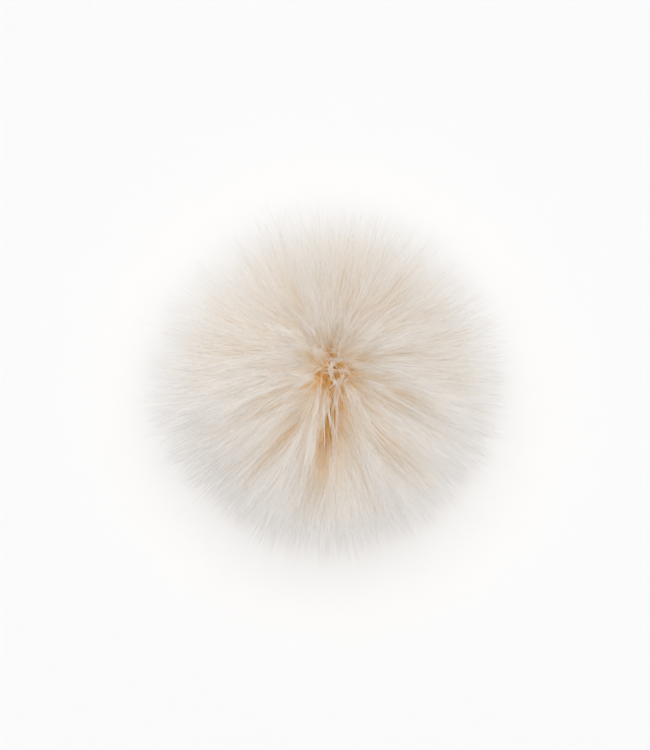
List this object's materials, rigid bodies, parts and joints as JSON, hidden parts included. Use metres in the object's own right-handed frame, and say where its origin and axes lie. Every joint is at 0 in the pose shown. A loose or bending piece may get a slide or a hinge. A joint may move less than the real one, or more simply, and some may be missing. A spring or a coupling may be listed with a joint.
{
  "type": "detachable faux fur pom pom",
  "caption": "Round cream faux-fur pom pom for a knitted hat, stuffed pouch on a felt disc, with a sew-on ring-spring press stud underneath.",
  "frame": {"origin": "centre of the face of the press stud's hat half that lies on the hat", "axes": "+Z away from the hat, up through the crown of the pom pom; +X and +Y along the hat's surface, with one spoke of sewing holes on +X"},
  "size_m": [0.13, 0.13, 0.106],
  "materials": {
    "plated_brass": "nickel plated, stamped, satin",
    "spring_wire": "drawn wire",
    "felt": "needled felt",
    "stay": "non-woven stiffener",
    "thread": "spun sewing thread",
    "knit": "knitted backing",
    "wadding": "carded fibre",
    "under_pile": "dense crimped pile, darker at the root",
    "guard_pile": "long tapered pile, cream to off-white at the tips"
  },
  "bodies": {
    "hat_stud": {"stud_plate": "plated_brass", "stud_ball": "plated_brass"},
    "spring": {"ring_spring": "spring_wire"},
    "base": {"socket_cover": "plated_brass", "socket_plate": "plated_brass", "socket_stitches": "thread", "base_disc": "felt", "stay_disc": "stay"},
    "ties": {"tie_threads": "thread"},
    "pom": {"gather_thread": "thread", "knit_backing": "knit", "fibre_fill": "wadding", "under_fur": "under_pile", "guard_hair": "guard_pile"}
  },
  "joints": [
    {"name": "snap_lift", "type": "slide", "parent": "hat_stud", "child": "spring", "axis": [0, 0, 1], "range_m": [0, 0.06], "deforming": ["ring_spring"]},
    {"name": "snap_turn", "type": "hinge", "parent": "spring", "child": "base", "pos_m": [0, 0, 0], "axis": [0, 0, 1], "continuous": true},
    {"name": "pom_nod", "type": "hinge", "parent": "base", "child": "ties", "pos_m": [0, 0, 0.0073], "axis": [1, 0, 0], "range_deg": [-12, 12], "stiffness_Nm_per_rad": 0.05, "deforming": ["tie_threads"]},
    {"name": "pom_sway", "type": "hinge", "parent": "ties", "child": "pom", "pos_m": [0, 0, 0.0073], "axis": [0, 1, 0], "range_deg": [-12, 12], "stiffness_Nm_per_rad": 0.05, "deforming": ["tie_threads"]}
  ]
}
